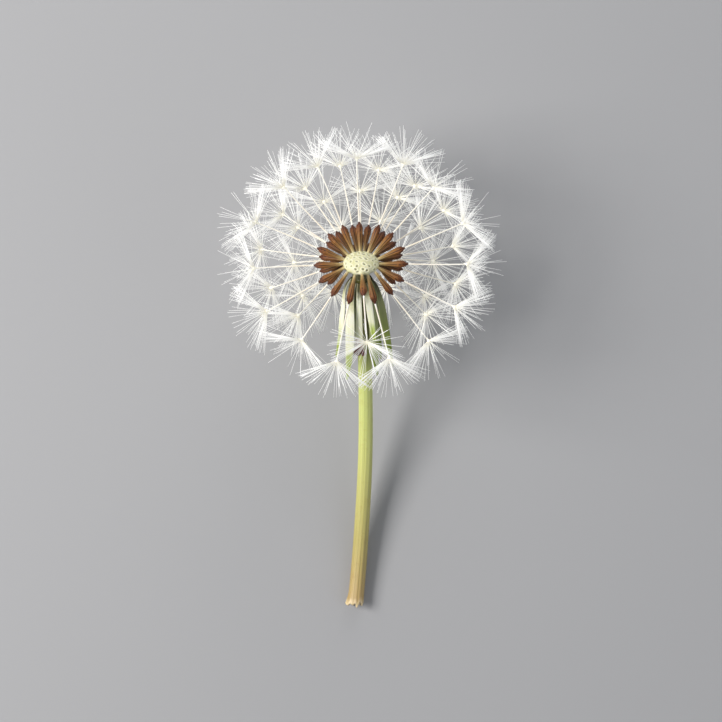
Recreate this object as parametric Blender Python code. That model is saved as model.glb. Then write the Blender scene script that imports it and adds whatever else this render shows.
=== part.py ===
"""A dandelion seed head on its cut, hollow stem, lying on a level surface.

Metres, +Z up. The stem runs towards -Y, and the side of the ball that has lost its seeds
faces up. The origin is the bottom centre of the whole. Everything is built around the
middle of the ball of seeds and hangs on one empty, which is then moved to the surface.
"""

import math
import random

import bmesh
import bpy
from mathutils import Matrix, Vector

MM = 0.001
DOWN = Vector((0.0, 0.0, -1.0))

# The ball
HUB_RADIUS = 17.4 * MM  # middle of the ball to the hubs that stand beside the head's axis
HUB_HEIGHT = 14.9 * MM  # middle of the ball to the hubs that stand along it
HUB_SPREAD = 0.8 * MM  # how far one hub stands nearer or farther than the next
HEAD_TILT = math.radians(35)  # the head's own axis above the surface, away from the stem
HEAD_AXIS = Vector((0.0, math.cos(HEAD_TILT), math.sin(HEAD_TILT)))
LEVEL_SEEDS = 15  # in the ring that lies level
STEM_SIDE = math.radians(-89)  # the middle of that ring's gap over the stem, from +X
STEM_GAP = math.radians(30)
# Rings of seeds under the level one: angle from straight down in degrees, and seeds in it
LOWER_RINGS = ((61, 14), (42, 11), (23, 6))
WANDER = math.radians(1.5)  # how far a seed strays from its place in the ring
STEM_CLEARANCE = math.radians(28)  # no seed grows this close to the stem's direction
FRONT_AROUND = math.radians(-86)  # one seed leans up over the bracts
FRONT_LEAN = math.radians(41)

# One seed: the fruit, its thin beak, and the tuft as one plain closed shape
FRUIT_LENGTH = 4.7 * MM
FRUIT_RADIUS = 0.54 * MM
BEAK_RADIUS = 0.16 * MM
HUB_WIDTH = 0.4 * MM
TUFT_LENGTH = 6.2 * MM
TUFT_RIM_RISE = 3.6 * MM
TUFT_RADIUS = 2.8 * MM
SEED_SIDES = 8
CAP_STEPS = 3

# The receptacle, a flattened button on a short collar
BUTTON_RADIUS = 2.6 * MM
BUTTON_HEIGHT = 1.35 * MM
BUTTON_SETBACK = 0.7 * MM  # its middle, behind the middle of the ball
UNDER_RIM_SHARE = 0.5  # seeds that point back crowd this much closer under the rim
COLLAR_TOP_RADIUS = 1.45 * MM
COLLAR_RADIUS = 1.15 * MM
COLLAR_DEPTH = 2.3 * MM
BUTTON_SIDES = 24
GAP = 0.15 * MM  # between pieces that touch on the real head

# The stem, a curved tube that is closed at the head and open where it was cut
STEM_END_Y = -55.3 * MM
NECK_RADIUS = 1.05 * MM
CUT_RADIUS = 1.25 * MM
WALL = 0.38 * MM
NECK_LENGTH = 2.0 * MM  # solid at the head's end
SIDE_BOW = 0.95 * MM
SIDE_DRIFT = -0.9 * MM
STEM_SIDES = 14
STEM_STEPS = 24

# The bracts, folded back around the stem
BRACT_COUNT = 12
BRACT_LENGTH = 14.5 * MM
BRACT_WIDTH = 1.45 * MM
BRACT_THICKNESS = 0.26 * MM
BRACT_FIRST = math.radians(12)
BRACT_START = 0.3 * MM  # where the roots are, down the stem
BRACT_ROOT = 1.5 * MM  # the roots' distance from the stem's middle
BRACT_HANG = (2.1 * MM, 2.8 * MM)  # the folded part's distance, inner and outer bracts in turn
BRACT_SPLAY = (0.3 * MM, 1.7 * MM)  # how much farther out their tips stand
SPLAY_SPREAD = 0.25 * MM
BRACT_DRIFT = math.radians(8)  # how far round the stem a tip strays
BRACT_TURN = math.radians(60)  # how far the tips of those beside the stem turn to face up
BRACT_FOLD = 0.09  # the share of its length in which a bract bends down
BRACT_STEPS = 10

CHANCE_SEED = 11


def material(name, colour, roughness):
    """A plain Principled material."""
    made = bpy.data.materials.new(name)
    made.use_nodes = True
    shader = made.node_tree.nodes["Principled BSDF"]
    shader.inputs["Base Color"].default_value = (*colour, 1.0)
    shader.inputs["Roughness"].default_value = roughness
    shader.inputs["Metallic"].default_value = 0.0
    made.diffuse_color = (*colour, 1.0)
    return made


def add_object(name, bm, finish, parent):
    """Closes a bmesh into a named, smooth-shaded object under the parent."""
    bmesh.ops.remove_doubles(bm, verts=bm.verts, dist=0.001 * MM)
    bmesh.ops.recalc_face_normals(bm, faces=bm.faces)
    mesh = bpy.data.meshes.new(name)
    bm.to_mesh(mesh)
    bm.free()
    mesh.materials.append(finish)
    mesh.shade_smooth()
    mesh.set_sharp_from_angle(angle=math.radians(40))
    made = bpy.data.objects.new(name, mesh)
    bpy.context.collection.objects.link(made)
    made.parent = parent
    return made


def turned(profile, sides):
    """A bmesh turned about Z from (radius, height) points that start and end on the axis."""
    bm = bmesh.new()
    verts = [bm.verts.new((radius, 0.0, height)) for radius, height in profile]
    edges = [bm.edges.new(pair) for pair in zip(verts, verts[1:])]
    bmesh.ops.spin(
        bm,
        geom=verts + edges,
        cent=(0, 0, 0),
        axis=(0, 0, 1),
        angle=math.tau,
        steps=sides,
        use_duplicate=False,
    )
    return bm


def between(start, end):
    """The turn and place that carry the +Z axis from start towards end."""
    turn = (end - start).to_track_quat("Z", "X").to_matrix().to_4x4()
    return Matrix.Translation(start) @ turn


def lowest(pieces):
    """The height of the lowest corner of these pieces, about the middle of the ball."""
    return min((p.matrix_basis @ v.co).z for p in pieces for v in p.data.vertices)


# The seeds


def pointing(from_down, around):
    """The direction at an angle from straight down and an angle around it from +X."""
    flat = Vector((math.cos(around), math.sin(around), 0.0))
    return math.sin(from_down) * flat + math.cos(from_down) * DOWN


def seed_directions():
    """Where the seeds that are left point: rings around straight down, clear of the stem."""
    chance = random.Random(CHANCE_SEED)
    places = [(0.5 * math.pi + FRONT_LEAN, FRONT_AROUND)]
    step = (math.tau - STEM_GAP) / (LEVEL_SEEDS - 1)
    for index in range(LEVEL_SEEDS):
        places.append((0.5 * math.pi, STEM_SIDE + 0.5 * STEM_GAP + step * index))
    for from_down, count in LOWER_RINGS:
        for index in range(count):
            turn = (math.tau - STEM_GAP) * (index + 0.5) / count
            places.append((math.radians(from_down), STEM_SIDE + 0.5 * STEM_GAP + turn))
    directions = []
    for from_down, around in places:
        from_down += chance.uniform(-WANDER, WANDER)
        direction = pointing(from_down, around + chance.uniform(-WANDER, WANDER))
        if direction.angle(-HEAD_AXIS) > STEM_CLEARANCE:
            directions.append(direction)
    return directions


def hub_reach(direction):
    """How far from the middle of the slightly flattened ball the hubs stand this way."""
    along = direction.dot(HEAD_AXIS)
    return 1.0 / math.sqrt((1.0 - along**2) / HUB_RADIUS**2 + along**2 / HUB_HEIGHT**2)


def button_point(direction):
    """The place on the receptacle where the seed that points this way sits."""
    turn = direction.angle(HEAD_AXIS)
    past_rim = turn - 0.5 * math.pi
    if past_rim > 0.0:
        turn -= (1.0 - UNDER_RIM_SHARE) * past_rim
    sideways = (direction - HEAD_AXIS * direction.dot(HEAD_AXIS)).normalized()
    out = (BUTTON_RADIUS + GAP) * math.sin(turn) * sideways
    along = (BUTTON_HEIGHT + GAP) * math.cos(turn) - BUTTON_SETBACK
    return out + along * HEAD_AXIS


def seed_profile(beak_end):
    """(radius, height) points of one seed, from the foot of its fruit to the tuft's crown."""
    points = [
        (0.0, 0.0),
        (0.4 * FRUIT_RADIUS, 0.06 * FRUIT_LENGTH),
        (0.8 * FRUIT_RADIUS, 0.45 * FRUIT_LENGTH),
        (FRUIT_RADIUS, 0.75 * FRUIT_LENGTH),
        (0.75 * FRUIT_RADIUS, 0.9 * FRUIT_LENGTH),
        (BEAK_RADIUS, FRUIT_LENGTH),
        (BEAK_RADIUS, beak_end - HUB_WIDTH),
        (HUB_WIDTH, beak_end),
    ]
    rim_height = beak_end + TUFT_RIM_RISE
    crown = beak_end + TUFT_LENGTH
    for step in range(CAP_STEPS + 1):
        turn = 0.5 * math.pi * step / CAP_STEPS
        radius = TUFT_RADIUS * math.cos(turn)
        if step == CAP_STEPS:
            radius = 0.0
        points.append((radius, rim_height + (crown - rim_height) * math.sin(turn)))
    return points


def make_seeds(parent):
    """Every seed that is left on the head, as one closed body each."""
    finish = material("seed", (0.62, 0.52, 0.36), 0.7)
    chance = random.Random(CHANCE_SEED + 1)
    seeds = []
    for number, direction in enumerate(seed_directions(), start=1):
        hub = (hub_reach(direction) + chance.uniform(-HUB_SPREAD, HUB_SPREAD)) * direction
        foot = button_point(direction)
        bm = turned(seed_profile((hub - foot).length), SEED_SIDES)
        seed = add_object(f"seed_{number:02d}", bm, finish, parent)
        seed.matrix_basis = between(foot, hub)
        seeds.append(seed)
    return seeds


# The receptacle


def make_receptacle(parent):
    """The flattened button that the seeds sit on, with the collar that ends in the stem."""
    under = math.pi - math.asin(COLLAR_TOP_RADIUS / BUTTON_RADIUS)
    profile = [(0.0, BUTTON_HEIGHT)]
    steps = BUTTON_SIDES // 2
    for step in range(1, steps + 1):
        turn = under * step / steps
        profile.append((BUTTON_RADIUS * math.sin(turn), BUTTON_HEIGHT * math.cos(turn)))
    profile.append((COLLAR_RADIUS, -COLLAR_DEPTH))
    profile.append((0.0, -COLLAR_DEPTH))
    bm = turned(profile, BUTTON_SIDES)
    finish = material("receptacle", (0.78, 0.76, 0.52), 0.6)
    button = add_object("receptacle", bm, finish, parent)
    middle = -BUTTON_SETBACK * HEAD_AXIS
    button.matrix_basis = between(middle, middle + HEAD_AXIS)
    return button


# The stem


def stem_middle(share, floor):
    """A point of the stem's centre line, from the head (share 0) to the cut (share 1)."""
    start = -(BUTTON_SETBACK + COLLAR_DEPTH + GAP) * HEAD_AXIS
    reach = start.y - STEM_END_Y
    drop = start.z - (floor + CUT_RADIUS)
    fall = math.tan(HEAD_TILT) * reach
    side = SIDE_BOW * math.sin(math.pi * share) + SIDE_DRIFT * share**2
    height = start.z - fall * share + (fall - drop) * share**2
    return Vector((side, start.y - reach * share, height))


def stem_frame(share, floor):
    """The centre, sideways and upward directions of the stem's cross-section."""
    step = 0.01
    middle = stem_middle(share, floor)
    along = stem_middle(share + step, floor) - stem_middle(share - step, floor)
    if share < step:
        along = -HEAD_AXIS
    sideways = along.cross(DOWN).normalized()
    return middle, sideways, along.cross(sideways).normalized()


def stem_ring(bm, share, radius, floor):
    """One ring of the stem's skin."""
    middle, sideways, up = stem_frame(share, floor)
    ring = []
    for side in range(STEM_SIDES):
        turn = math.tau * side / STEM_SIDES
        out = math.cos(turn) * sideways + math.sin(turn) * up
        ring.append(bm.verts.new(middle + radius * out))
    return ring


def skin_between(bm, ring, following):
    """Quads from one ring to the next."""
    for side in range(len(ring)):
        after = (side + 1) % len(ring)
        bm.faces.new((ring[side], ring[after], following[after], following[side]))


def make_stem(parent, floor):
    """The hollow stem: out along its skin, over the cut rim, and back up its bore."""
    bm = bmesh.new()
    bore_top = NECK_LENGTH / (-STEM_END_Y)
    rings = []
    for step in range(STEM_STEPS + 1):
        share = step / STEM_STEPS
        radius = NECK_RADIUS + (CUT_RADIUS - NECK_RADIUS) * share
        rings.append(stem_ring(bm, share, radius, floor))
    for step in range(STEM_STEPS, -1, -1):
        share = bore_top + (1.0 - bore_top) * step / STEM_STEPS
        radius = NECK_RADIUS + (CUT_RADIUS - NECK_RADIUS) * share - WALL
        rings.append(stem_ring(bm, share, radius, floor))
    for ring, following in zip(rings, rings[1:]):
        skin_between(bm, ring, following)
    bm.faces.new(rings[0])
    bm.faces.new(rings[-1])
    return add_object("stem", bm, material("stem", (0.58, 0.62, 0.24), 0.45), parent)


# The bracts


def bract_width(share):
    """A bract's width: narrow at the root, widest past the middle, and drawn in at the tip."""
    return BRACT_WIDTH * (0.3 + 0.7 * math.sin(math.pi * (0.85 * share + 0.05)))


def bract_station(share, around, hang, splay, floor):
    """The middle of a bract and the directions across and out of it."""
    down_stem = BRACT_START + BRACT_LENGTH * share
    middle, sideways, up = stem_frame(down_stem / (-STEM_END_Y), floor)
    out = math.cos(around) * sideways + math.sin(around) * up
    across = math.cos(around) * up - math.sin(around) * sideways
    fold = 1.0 - math.exp(-share / BRACT_FOLD)
    away = BRACT_ROOT + (hang - BRACT_ROOT) * fold + splay * share**1.5
    turn = -BRACT_TURN * math.sqrt(share) * math.cos(around)
    flat = math.cos(turn) * across + math.sin(turn) * out
    return middle + away * out, flat, math.cos(turn) * out - math.sin(turn) * across


def make_bracts(parent, floor):
    """A ring of narrow bracts that stand out under the button and hang round the stem."""
    finish = material("bract", (0.66, 0.68, 0.42), 0.6)
    chance = random.Random(CHANCE_SEED + 2)
    for number in range(1, BRACT_COUNT + 1):
        first_around = BRACT_FIRST + math.tau * (number - 1) / BRACT_COUNT
        layer = number % 2
        splay = BRACT_SPLAY[layer] + chance.uniform(-SPLAY_SPREAD, SPLAY_SPREAD)
        drift = chance.uniform(-BRACT_DRIFT, BRACT_DRIFT)
        bm = bmesh.new()
        rings = []
        for step in range(BRACT_STEPS + 1):
            share = step / BRACT_STEPS
            around = first_around + drift * share
            place, across, out = bract_station(share, around, BRACT_HANG[layer], splay, floor)
            half = 0.5 * bract_width(share)
            thick = 0.5 * BRACT_THICKNESS
            ring = []
            for i, j in ((-1, -1), (1, -1), (1, 1), (-1, 1)):
                ring.append(bm.verts.new(place + half * i * across + thick * j * out))
            rings.append(ring)
        for ring, following in zip(rings, rings[1:]):
            skin_between(bm, ring, following)
        bm.faces.new(rings[0])
        bm.faces.new(rings[-1])
        add_object(f"bract_{number:02d}", bm, finish, parent)


def settle(whole, pieces):
    """Moves the empty so that the bottom centre of all the pieces is the origin."""
    corners = [p.matrix_basis @ v.co for p in pieces for v in p.data.vertices]
    low = [min(corner[axis] for corner in corners) for axis in range(3)]
    high = [max(corner[axis] for corner in corners) for axis in range(3)]
    whole.location = (-0.5 * (low[0] + high[0]), -0.5 * (low[1] + high[1]), -low[2])


def main():
    for old in list(bpy.data.objects):
        bpy.data.objects.remove(old, do_unlink=True)
    whole = bpy.data.objects.new("dandelion", None)
    bpy.context.collection.objects.link(whole)
    seeds = make_seeds(whole)
    floor = lowest(seeds)
    make_receptacle(whole)
    make_stem(whole, floor)
    make_bracts(whole, floor)
    settle(whole, whole.children)
    bpy.context.view_layer.update()


main()
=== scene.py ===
# %% [markdown]
# # A dandelion clock lying on its side
#
# The object is a dandelion's seed head on its picked, hollow stem. About half of the seeds have
# blown away, so the pitted button that carried them shows, with the bracts folded back under it.
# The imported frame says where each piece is. This file makes the fine surface of every piece
# around that frame: the button, the stem, the bracts, and the seeds with their tufts.

# %% Load the frame
import math
import random

import bpy
import numpy as np
from mathutils import Matrix, Vector


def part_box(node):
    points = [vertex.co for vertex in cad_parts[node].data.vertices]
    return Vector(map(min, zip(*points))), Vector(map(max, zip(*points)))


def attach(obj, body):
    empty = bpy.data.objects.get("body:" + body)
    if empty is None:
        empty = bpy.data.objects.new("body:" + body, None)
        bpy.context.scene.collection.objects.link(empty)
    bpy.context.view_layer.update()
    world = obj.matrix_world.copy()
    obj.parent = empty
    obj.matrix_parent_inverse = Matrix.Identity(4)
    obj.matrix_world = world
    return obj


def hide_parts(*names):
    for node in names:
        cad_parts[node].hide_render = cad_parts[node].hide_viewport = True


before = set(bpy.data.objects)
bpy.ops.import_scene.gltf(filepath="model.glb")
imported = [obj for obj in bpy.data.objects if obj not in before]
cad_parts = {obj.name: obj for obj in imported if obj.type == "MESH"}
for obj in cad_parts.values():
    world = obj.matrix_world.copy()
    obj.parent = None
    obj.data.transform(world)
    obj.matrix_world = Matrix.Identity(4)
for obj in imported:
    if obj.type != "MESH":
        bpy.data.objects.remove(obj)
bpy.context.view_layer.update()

MM = 0.001
print("nodes in the frame:", len(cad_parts))

# %% [markdown]
# ## Finding the head in the frame
#
# A turned solid keeps the corners that lie on its own axis, and those say exactly where it is.
# The corner of the button that is farthest along the head's axis is its top, and the button's
# middle lies one dome height behind it. A seed's foot is its corner nearest to that middle, and
# the crown of its tuft is the corner farthest from the foot.

# %% Places of the button and the seeds
HEAD_TILT = math.radians(35)  # the head's own axis above the surface
HEAD_AXIS = Vector((0.0, math.cos(HEAD_TILT), math.sin(HEAD_TILT)))
BUTTON_RADIUS = 2.6 * MM
BUTTON_HEIGHT = 1.35 * MM
BUTTON_SETBACK = 0.7 * MM
TUFT_LENGTH = 6.2 * MM  # of the solid that stands for a tuft


def corners(node):
    """The corners of a CAD node as rows of x, y and z."""
    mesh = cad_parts[node].data
    places = np.zeros(len(mesh.vertices) * 3)
    mesh.vertices.foreach_get("co", places)
    return places.reshape(-1, 3)


def farthest(places, direction):
    """The corner that lies farthest along a direction."""
    return Vector(places[np.argmax(places @ np.array(direction))])


button_top = farthest(corners("receptacle"), HEAD_AXIS)
button_middle = button_top - BUTTON_HEIGHT * HEAD_AXIS
ball_middle = button_middle + BUTTON_SETBACK * HEAD_AXIS

seed_names = sorted(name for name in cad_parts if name.startswith("seed_"))
seed_places = {}
for name in seed_names:
    places = corners(name)
    foot = places[np.argmin(np.linalg.norm(places - np.array(button_middle), axis=1))]
    crown = places[np.argmax(np.linalg.norm(places - foot, axis=1))]
    along = Vector(crown - foot).normalized()
    seed_places[name] = (Vector(foot), Vector(crown) - TUFT_LENGTH * along)
print("ball middle:", tuple(round(c / MM, 2) for c in ball_middle), "mm;", len(seed_places), "seeds")

# %% [markdown]
# ## Camera
#
# The clock lies flat and is seen from straight above, so the camera looks down -Z with +Y up in
# the picture. A long lens from far away keeps the near and far tufts almost the same size.

# %% Camera
VIEW_WIDTH = 113.4 * MM  # what the picture takes in at the height of the ball's middle
LENS = 200.0
SENSOR = 36.0
VIEW_BELOW_BALL = 15.9 * MM  # the picture's middle lies this far down the stem

camera_data = bpy.data.cameras.new("camera")
camera_data.lens = LENS
camera_data.sensor_width = SENSOR
camera_data.clip_end = 10.0
camera = bpy.data.objects.new("camera", camera_data)
bpy.context.scene.collection.objects.link(camera)
camera.location = (
    ball_middle.x,
    ball_middle.y - VIEW_BELOW_BALL,
    ball_middle.z + VIEW_WIDTH * LENS / SENSOR,
)
bpy.context.scene.camera = camera
print("camera stands", round(camera.location.z, 3), "m above the surface")

# %% [markdown]
# ## Surface and light
#
# The tufts are white, so the surface is a plain grey that they can stand out from. A broad lamp
# from the left models the stem and the ribs of the fruits, a weaker one from the right opens the
# shadows, and a low one from behind makes the bristles glow at their edges.

# %% Floor and lamps
FLOOR_SIZE = 1.2
FLOOR_CLEARANCE = 0.01 * MM  # nothing reaches closer to the floor than this


def plain_material(name, colour, roughness):
    """A new Principled material and its shader, for the cells below to build on."""
    made = bpy.data.materials.new(name)
    made.use_nodes = True
    shader = made.node_tree.nodes["Principled BSDF"]
    shader.inputs["Base Color"].default_value = (*colour, 1.0)
    shader.inputs["Roughness"].default_value = roughness
    return made, shader


def area_lamp(name, place, size, power, colour=(1.0, 1.0, 1.0)):
    """A square lamp that faces the middle of the ball."""
    data = bpy.data.lights.new(name, "AREA")
    data.size = size
    data.energy = power
    data.color = colour
    lamp = bpy.data.objects.new(name, data)
    bpy.context.scene.collection.objects.link(lamp)
    lamp.location = ball_middle + Vector(place)
    lamp.rotation_euler = (-Vector(place)).to_track_quat("-Z", "Y").to_euler()
    return lamp


bpy.ops.object.select_all(action="DESELECT")
bpy.ops.mesh.primitive_plane_add(size=FLOOR_SIZE, location=(0, 0, 0))
floor = bpy.context.object
floor.name = "floor"
floor_material, _ = plain_material("floor_paper", (0.36, 0.36, 0.37), 0.85)
floor.data.materials.append(floor_material)

area_lamp("key_lamp", (-0.38, 0.02, 0.33), 0.22, 3.0, (1.0, 0.98, 0.95))
area_lamp("fill_lamp", (0.45, -0.10, 0.35), 0.5, 0.6, (0.95, 0.98, 1.0))
area_lamp("rim_lamp", (0.10, 0.50, 0.16), 0.3, 1.0)

world = bpy.data.worlds.new("studio")
world.use_nodes = True
world.node_tree.nodes["Background"].inputs["Color"].default_value = (0.9, 0.94, 1.0, 1.0)
world.node_tree.nodes["Background"].inputs["Strength"].default_value = 0.3
bpy.context.scene.world = world
bpy.context.scene.view_settings.view_transform = "Standard"

# %% [markdown]
# ## Helpers for building materials
#
# Every finish here is a Principled shader with a few nodes in front of it: noise for blotches,
# an attribute that says how far along the piece a point lies, and colour ramps. Two small
# helpers keep that readable.


# %% Material helpers
def add_node(material, kind, **settings):
    """A new node; each setting is the value of the input with that name, or else a property."""
    node = material.node_tree.nodes.new(kind)
    for key, value in settings.items():
        if key in node.inputs:
            node.inputs[key].default_value = value
        else:
            setattr(node, key, value)
    return node


def wire(material, source, target):
    """Joins an output socket to an input socket."""
    material.node_tree.links.new(source, target)


def ramp(material, stops, source):
    """A colour ramp over (position, colour) stops, fed by a socket."""
    node = add_node(material, "ShaderNodeValToRGB")
    band = node.color_ramp
    while len(band.elements) < len(stops):
        band.elements.new(0.5)
    for element, (position, colour) in zip(band.elements, stops):
        element.position = position
        element.color = (*colour, 1.0)
    wire(material, source, node.inputs["Fac"])
    return node.outputs["Color"]


def attribute(material, name):
    """The number that a named attribute holds at each point."""
    return add_node(material, "ShaderNodeAttribute", attribute_name=name).outputs["Fac"]


def noise(material, scale, detail=3.0, roughness=0.55, stretch=None):
    """Noise on the piece's own coordinates, scale in waves per metre."""
    place = add_node(material, "ShaderNodeTexCoord").outputs["Object"]
    if stretch:
        mapping = add_node(material, "ShaderNodeMapping", Scale=stretch)
        wire(material, place, mapping.inputs["Vector"])
        place = mapping.outputs["Vector"]
    node = add_node(material, "ShaderNodeTexNoise", Scale=scale, Detail=detail, Roughness=roughness)
    wire(material, place, node.inputs["Vector"])
    return node.outputs["Fac"]


def mix(material, factor, first, second, blend="MIX"):
    """Two colours mixed; the factor may be a number or a socket, and so may each colour."""
    node = add_node(material, "ShaderNodeMix", data_type="RGBA", blend_type=blend)
    for socket, value in ((node.inputs[0], factor), (node.inputs[6], first), (node.inputs[7], second)):
        if hasattr(value, "is_linked"):
            wire(material, value, socket)
        elif isinstance(value, tuple):
            socket.default_value = (*value, 1.0)
        else:
            socket.default_value = value
    return node.outputs[2]


def bump(material, shader, height, distance, strength=1.0):
    """Relief on the shader's normal, distance in metres."""
    node = add_node(material, "ShaderNodeBump", Distance=distance, Strength=strength)
    wire(material, height, node.inputs["Height"])
    wire(material, node.outputs["Normal"], shader.inputs["Normal"])


def rough_band(material, shader, source, low, high):
    """Roughness that follows a socket between two values."""
    node = add_node(material, "ShaderNodeMapRange")
    node.inputs["To Min"].default_value = low
    node.inputs["To Max"].default_value = high
    wire(material, source, node.inputs["Value"])
    wire(material, node.outputs["Result"], shader.inputs["Roughness"])


# %% [markdown]
# ## Helpers for modelling
#
# An operator works on whatever is selected, so each piece starts from a clear selection. After
# that a piece is shaped in edit mode, and its corners are picked in code by their place.


# %% Modelling helpers
def clear_selection():
    """Leaves edit mode and selects nothing."""
    if bpy.context.object and bpy.context.object.mode != "OBJECT":
        bpy.ops.object.mode_set(mode="OBJECT")
    bpy.ops.object.select_all(action="DESELECT")


def new_grid(name, across, along):
    """A flat sheet of quads with a UV map, from 0 to 1 both ways."""
    clear_selection()
    bpy.ops.mesh.primitive_grid_add(
        x_subdivisions=across, y_subdivisions=along, size=1.0, calc_uvs=True, location=(0.5, 0.5, 0)
    )
    bpy.ops.object.transform_apply(location=True, rotation=True, scale=True)
    made = bpy.context.object
    made.name = name
    return made


def shape_corners(piece, rule):
    """Moves every corner to where a rule puts it."""
    for corner in piece.data.vertices:
        corner.co = rule(corner.co.copy())
    piece.data.update()


def store(mesh, name, values):
    """Keeps one number for each corner as a named attribute."""
    layer = mesh.attributes.get(name) or mesh.attributes.new(name, "FLOAT", "POINT")
    layer.data.foreach_set("value", np.asarray(values, dtype=np.float32))


def apply_modifiers(piece):
    """Applies every modifier of the piece in turn."""
    clear_selection()
    bpy.context.view_layer.objects.active = piece
    piece.select_set(True)
    for modifier in list(piece.modifiers):
        bpy.ops.object.modifier_apply(modifier=modifier.name)


def close_up(piece, distance=0.002 * MM):
    """Merges corners that meet and turns all faces outwards."""
    clear_selection()
    bpy.context.view_layer.objects.active = piece
    piece.select_set(True)
    bpy.ops.object.mode_set(mode="EDIT")
    bpy.ops.mesh.select_all(action="SELECT")
    bpy.ops.mesh.remove_doubles(threshold=distance)
    bpy.ops.mesh.normals_make_consistent(inside=False)
    bpy.ops.object.mode_set(mode="OBJECT")


def between(start, end, spin=0.0):
    """The turn and place that carry the +Z axis from start towards end."""
    turn = (end - start).to_track_quat("Z", "X").to_matrix().to_4x4()
    return Matrix.Translation(start) @ turn @ Matrix.Rotation(spin, 4, "Z")


# %% [markdown]
# ## The button
#
# Under the seeds sits the receptacle: a cream dome with a scar for each seed that has gone, a
# small grey-green pit with a raised lip. A fine icosphere gives even faces all over, so it is
# flattened into the dome. The pits are laid out by the golden angle, as a plant does it, and
# each is an oval of its own length and depth: the corners near it are lifted into the lip or
# pressed into the pit. Each seed that is still on keeps a lump under its foot, which makes the
# button's rim scalloped.

# %% Places of the pits
PIT_COUNT = 38
PIT_RADIUS = 0.145 * MM
PIT_LIP = 0.27 * MM  # from a pit's middle to the crest of its lip
GOLDEN_ANGLE = math.pi * (3.0 - math.sqrt(5.0))
PIT_REACH = math.radians(92)  # from the dome's top, the last ring of pits
pit_chance = random.Random(41)


def pit_place(number):
    """One pit, in the dome's own frame: its place, long direction, stretch and depth."""
    share = (number + 0.5) / PIT_COUNT
    turn = math.acos(1.0 - share * (1.0 - math.cos(PIT_REACH))) + pit_chance.uniform(-0.05, 0.05)
    around = GOLDEN_ANGLE * number + pit_chance.uniform(-0.12, 0.12)
    out = BUTTON_RADIUS * math.sin(turn)
    place = (out * math.cos(around), out * math.sin(around), BUTTON_HEIGHT * math.cos(turn))
    lie = pit_chance.uniform(0.0, math.tau)
    long_way = np.array((math.cos(lie), math.sin(lie), 0.0))
    stretch = pit_chance.uniform(1.0, 1.7)
    depth = pit_chance.uniform(0.5, 1.0)
    return np.array(place), long_way, stretch, depth


pits = [pit_place(number) for number in range(PIT_COUNT)]
head_frame = between(button_middle, button_top)
feet = [head_frame.inverted() @ foot for foot, _ in seed_places.values()]
print("pits:", len(pits), "and feet of seeds:", len(feet))

# %% Shape of the button
PIT_DEPTH = 0.20 * MM
LIP_RISE = 0.075 * MM
LIP_WIDTH = 0.10 * MM
SEAT_RISE = 0.26 * MM  # the lump that each seed which is left still sits on
SEAT_RADIUS = 0.42 * MM

clear_selection()
bpy.ops.mesh.primitive_ico_sphere_add(subdivisions=6, radius=BUTTON_RADIUS, location=(0, 0, 0))
button = bpy.context.object
button.name = "button"
bpy.ops.object.mode_set(mode="EDIT")
bpy.ops.mesh.select_all(action="SELECT")
flatten = BUTTON_HEIGHT / BUTTON_RADIUS
bpy.ops.transform.resize(value=(1.0, 1.0, flatten), center_override=(0, 0, 0))
bpy.ops.object.mode_set(mode="OBJECT")

dome = np.array([corner.co for corner in button.data.vertices])
normals = dome / np.array([1.0, 1.0, flatten**2])
normals /= np.linalg.norm(normals, axis=1)[:, None]
lift = np.zeros(len(dome))
in_pit = np.zeros(len(dome))
on_lip = np.zeros(len(dome))
for place, long_way, stretch, depth in pits:
    offset = dome - place
    lengthwise = offset @ long_way
    gap = np.sqrt((offset**2).sum(axis=1) - lengthwise**2 * (1.0 - 1.0 / stretch**2))
    lip = np.exp(-(((gap - PIT_LIP) / LIP_WIDTH) ** 2))
    bowl = np.exp(-((gap / PIT_RADIUS) ** 4))
    lift += (LIP_RISE * lip - PIT_DEPTH * bowl) * depth
    in_pit = np.maximum(in_pit, bowl * (0.5 + 0.5 * depth))
    on_lip = np.maximum(on_lip, lip)
for foot in feet:
    gap = np.linalg.norm(dome - np.array(foot), axis=1)
    seat = np.exp(-((gap / SEAT_RADIUS) ** 2))
    lift = lift * (1.0 - 0.8 * seat) + SEAT_RISE * seat
    in_pit *= 1.0 - seat
store(button.data, "pit", in_pit)
store(button.data, "lip", on_lip)
# The 'under' attribute grows towards the button's underside; the finish reads it for painted shade.
store(button.data, "under", np.clip(-dome[:, 2] / BUTTON_HEIGHT, 0.0, 1.0))
shaped = dome + lift[:, None] * normals
button.data.vertices.foreach_set("co", shaped.ravel())
button.data.update()
print("relief from", round(lift.min() / MM, 2), "to", round(lift.max() / MM, 2), "mm")

# %% Collar under the button
COLLAR_DEPTH = 2.3 * MM
COLLAR_TOP_RADIUS = 1.45 * MM
COLLAR_RADIUS = 1.15 * MM
COLLAR_STEPS = 4


def collar_radius(share):
    """The collar's radius at a share of its depth."""
    return COLLAR_TOP_RADIUS + (COLLAR_RADIUS - COLLAR_TOP_RADIUS) * math.sqrt(share)


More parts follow.
